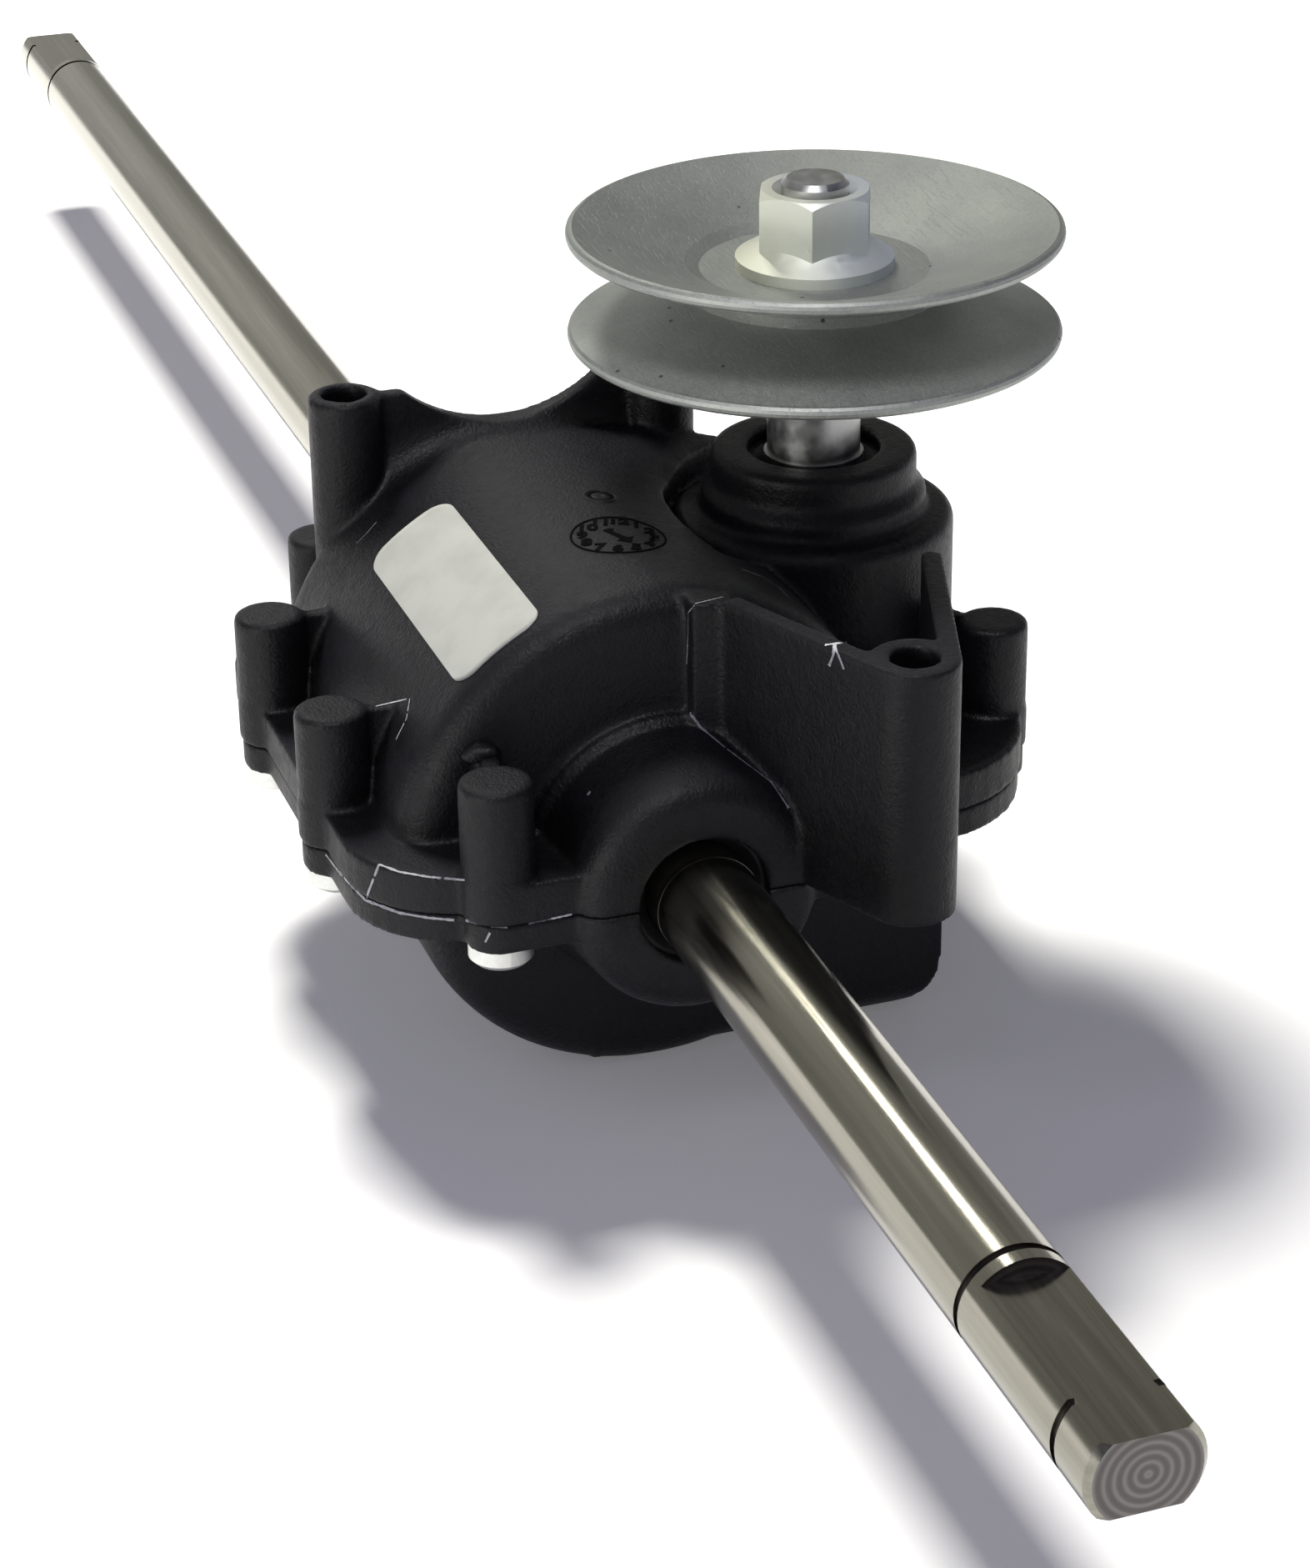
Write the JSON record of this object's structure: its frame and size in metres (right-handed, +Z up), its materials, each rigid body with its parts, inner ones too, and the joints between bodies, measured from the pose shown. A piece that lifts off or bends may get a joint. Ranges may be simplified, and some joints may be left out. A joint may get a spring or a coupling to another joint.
{
  "type": "lawn mower transmission",
  "caption": "Worm-drive gearbox with a moulded two-part housing, a belt pulley on the upright input shaft and a long through axle.",
  "frame": {"origin": "centre of the axle's crossing with the wheel's middle plane, dropped to the flat resting face of the lower cover", "axes": "+X along the axle to its near, shorter end, +Y from the axle towards the worm shaft, +Z up along the input shaft to the pulley"},
  "size_m": [0.6, 0.1241, 0.1166],
  "materials": {
    "housing_nylon": "glass-filled nylon, fine satin grain",
    "zinc_screws": "zinc plated",
    "zinc_sheet": "pressed sheet, zinc plated, lightly scratched",
    "zinc_nut": "zinc plated, faintly iridescent",
    "ground_steel": "ground bar, oiled",
    "turned_steel": "turned",
    "bright_steel": "hardened and ground",
    "bearing_steel": "polished",
    "bronze": "cut, oiled",
    "seal_rubber": "moulded nitrile"
  },
  "bodies": {
    "housing": {"upper_housing": "housing_nylon", "lower_cover": "housing_nylon", "cover_screws": "zinc_screws", "cover_dowels": "bright_steel", "near_bearing_outer_race": "bearing_steel", "near_bearing_balls": "bearing_steel", "far_bearing_outer_race": "bearing_steel", "far_bearing_balls": "bearing_steel", "near_axle_seal": "seal_rubber", "far_axle_seal": "seal_rubber", "upper_bearing_outer_race": "bearing_steel", "upper_bearing_balls": "bearing_steel", "lower_bearing_outer_race": "bearing_steel", "lower_bearing_balls": "bearing_steel", "tower_circlip": "turned_steel", "shaft_seal": "seal_rubber"},
    "axle_assembly": {"axle": "ground_steel", "worm_wheel": "bronze", "wheel_hub": "turned_steel", "hub_key": "bright_steel", "near_spacer": "turned_steel", "far_spacer": "turned_steel", "near_bearing_inner_race": "bearing_steel", "far_bearing_inner_race": "bearing_steel"},
    "input_assembly": {"worm_shaft": "bright_steel", "upper_bearing_inner_race": "bearing_steel", "lower_bearing_inner_race": "bearing_steel", "shaft_circlip": "turned_steel", "bearing_shim": "bright_steel", "pulley_upper_disc": "zinc_sheet", "pulley_lower_disc": "zinc_sheet", "pulley_nut": "zinc_nut"}
  },
  "joints": [
    {"name": "axle_spin", "type": "hinge", "parent": "housing", "child": "axle_assembly", "pos_m": [0, 0, 0.0354], "axis": [1, 0, 0], "continuous": true},
    {"name": "input_spin", "type": "hinge", "parent": "housing", "child": "input_assembly", "pos_m": [0, 0.0397, 0.0354], "axis": [0, 0, 1], "continuous": true}
  ],
  "couplings": [
    {"joint": "input_spin", "follows": "axle_spin", "ratio": -14.5}
  ]
}
